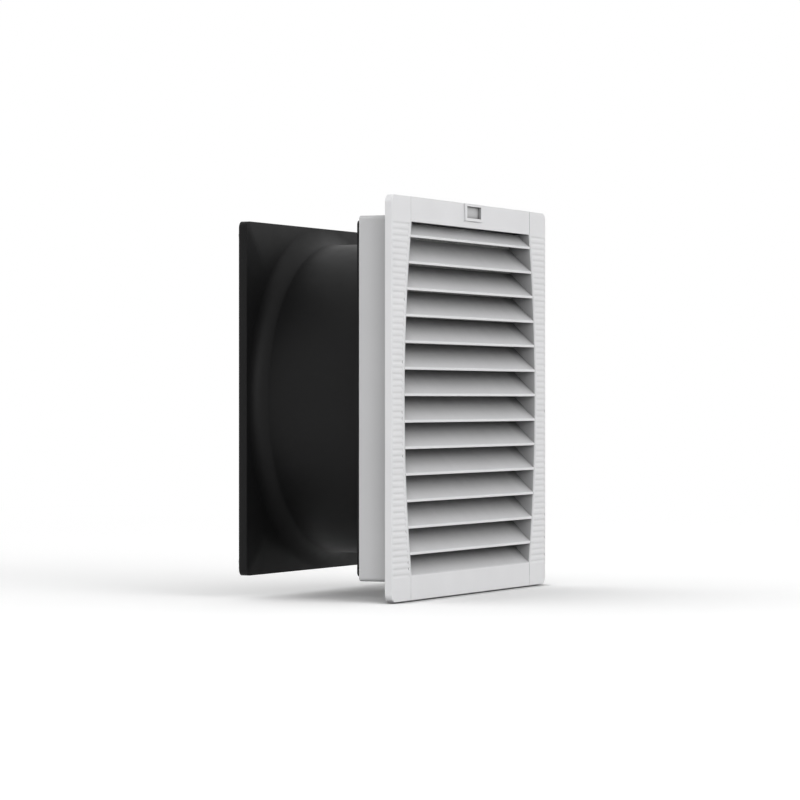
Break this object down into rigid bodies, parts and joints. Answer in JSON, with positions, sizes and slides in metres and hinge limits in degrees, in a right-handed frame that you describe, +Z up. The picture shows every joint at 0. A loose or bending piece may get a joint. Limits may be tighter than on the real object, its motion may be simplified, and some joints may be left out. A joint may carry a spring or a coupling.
{
  "type": "cabinet filter fan",
  "caption": "Square filter fan for a cabinet wall: hinged louvre cover over a filter mat, sleeve with snap clips, deep round fan housing and rear finger guard.",
  "frame": {"origin": "centre of the wall's cut-out, on the wall's outer face", "axes": "+Y into the cabinet along the fan's axis, +Z up, +X to the right seen from the front"},
  "size_m": [0.32, 0.1499, 0.32],
  "materials": {
    "pale_plastic": "fine matt moulded grain",
    "gasket_foam": "closed-cell foam",
    "filter_fleece": "matted polyester fibres",
    "spring_steel": "bright strip",
    "black_coat": "satin powder coat",
    "black_plastic": "satin moulded",
    "bright_steel": "ground",
    "cast_metal": "die-cast",
    "winding_wire": "enamelled copper wire",
    "plated_screw": "zinc plated",
    "block_plastic": "moulded"
  },
  "bodies": {
    "root": {"front_frame": "pale_plastic", "wall_gasket": "gasket_foam", "filter_mat": "filter_fleece", "support_grid": "pale_plastic", "fan_housing": "black_coat", "finger_guard": "black_coat", "motor_base": "cast_metal", "guard_ring_1": "black_coat", "guard_ring_2": "black_coat", "guard_ring_3": "black_coat", "guard_ring_4": "black_coat", "guard_ring_5": "black_coat", "guard_ring_6": "black_coat", "guard_ring_7": "black_coat", "guard_ring_8": "black_coat", "stator_core": "bright_steel", "winding_front": "winding_wire", "winding_rear": "winding_wire", "bearing_front": "bright_steel", "bearing_rear": "bright_steel", "housing_screw_1": "plated_screw", "housing_screw_2": "plated_screw", "housing_screw_3": "plated_screw", "housing_screw_4": "plated_screw", "guard_screw_1": "plated_screw", "guard_screw_2": "plated_screw", "guard_screw_3": "plated_screw", "guard_screw_4": "plated_screw", "motor_screw_1": "plated_screw", "motor_screw_2": "plated_screw", "motor_screw_3": "plated_screw", "motor_screw_4": "plated_screw", "lid_screw_1": "plated_screw", "lid_screw_2": "plated_screw", "terminal_box": "black_plastic", "terminal_lid": "black_plastic", "terminal_block": "block_plastic", "cable_gland": "black_plastic"},
    "cover": {"louvre_cover": "pale_plastic"},
    "latch": {"cover_latch": "pale_plastic"},
    "clip_1": {"snap_clip_1": "spring_steel"},
    "clip_2": {"snap_clip_2": "spring_steel"},
    "clip_3": {"snap_clip_3": "spring_steel"},
    "clip_4": {"snap_clip_4": "spring_steel"},
    "wheel": {"impeller": "black_plastic", "rotor_can": "black_coat", "motor_shaft": "bright_steel"}
  },
  "joints": [
    {"name": "cover_hinge", "type": "hinge", "parent": "root", "child": "cover", "pos_m": [0, -0.005, -0.157], "axis": [1, 0, 0], "range_deg": [0, 90]},
    {"name": "latch_slide", "type": "slide", "parent": "cover", "child": "latch", "axis": [0, 0, -1], "range_m": [0, 0.0014]},
    {"name": "clip_1_flex", "type": "hinge", "parent": "root", "child": "clip_1", "pos_m": [-0.075, 0.0225, 0.14325], "axis": [1, 0, 0], "range_deg": [0, 10.5], "stiffness_Nm_per_rad": 1.9},
    {"name": "clip_2_flex", "type": "hinge", "parent": "root", "child": "clip_2", "pos_m": [0.075, 0.0225, 0.14325], "axis": [1, 0, 0], "range_deg": [0, 10.5], "stiffness_Nm_per_rad": 1.9},
    {"name": "clip_3_flex", "type": "hinge", "parent": "root", "child": "clip_3", "pos_m": [-0.075, 0.0225, -0.14325], "axis": [-1, 0, 0], "range_deg": [0, 10.5], "stiffness_Nm_per_rad": 1.9},
    {"name": "clip_4_flex", "type": "hinge", "parent": "root", "child": "clip_4", "pos_m": [0.075, 0.0225, -0.14325], "axis": [-1, 0, 0], "range_deg": [0, 10.5], "stiffness_Nm_per_rad": 1.9},
    {"name": "wheel_spin", "type": "hinge", "parent": "root", "child": "wheel", "pos_m": [0, 0.0925, 0], "axis": [0, 1, 0], "continuous": true}
  ]
}
